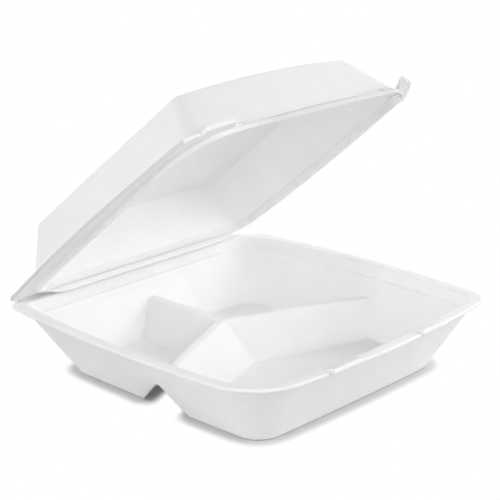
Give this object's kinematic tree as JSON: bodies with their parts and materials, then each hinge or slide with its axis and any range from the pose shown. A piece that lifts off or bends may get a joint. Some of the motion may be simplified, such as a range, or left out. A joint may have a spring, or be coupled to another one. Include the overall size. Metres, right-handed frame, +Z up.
{
  "type": "foam clamshell container",
  "caption": "Square hinged foam carry-out container with a Y divider, bowed rim, front locking tongues and a domed lid with a corner lift tab.",
  "frame": {"origin": "on the table under the middle of the large compartment's foot", "axes": "+Z up, +X along the hinge to the right, +Y towards the hinge, front at -Y"},
  "size_m": [0.2236, 0.2248, 0.1887],
  "materials": {
    "foam": "smooth white foam skin"
  },
  "bodies": {
    "base": {"base": "foam"},
    "lid": {"lid": "foam"}
  },
  "joints": [
    {"name": "lid_hinge", "type": "hinge", "parent": "base", "child": "lid", "pos_m": [0, 0.145, 0.04365], "axis": [-1, 0, 0], "range_deg": [-39, 141]}
  ]
}
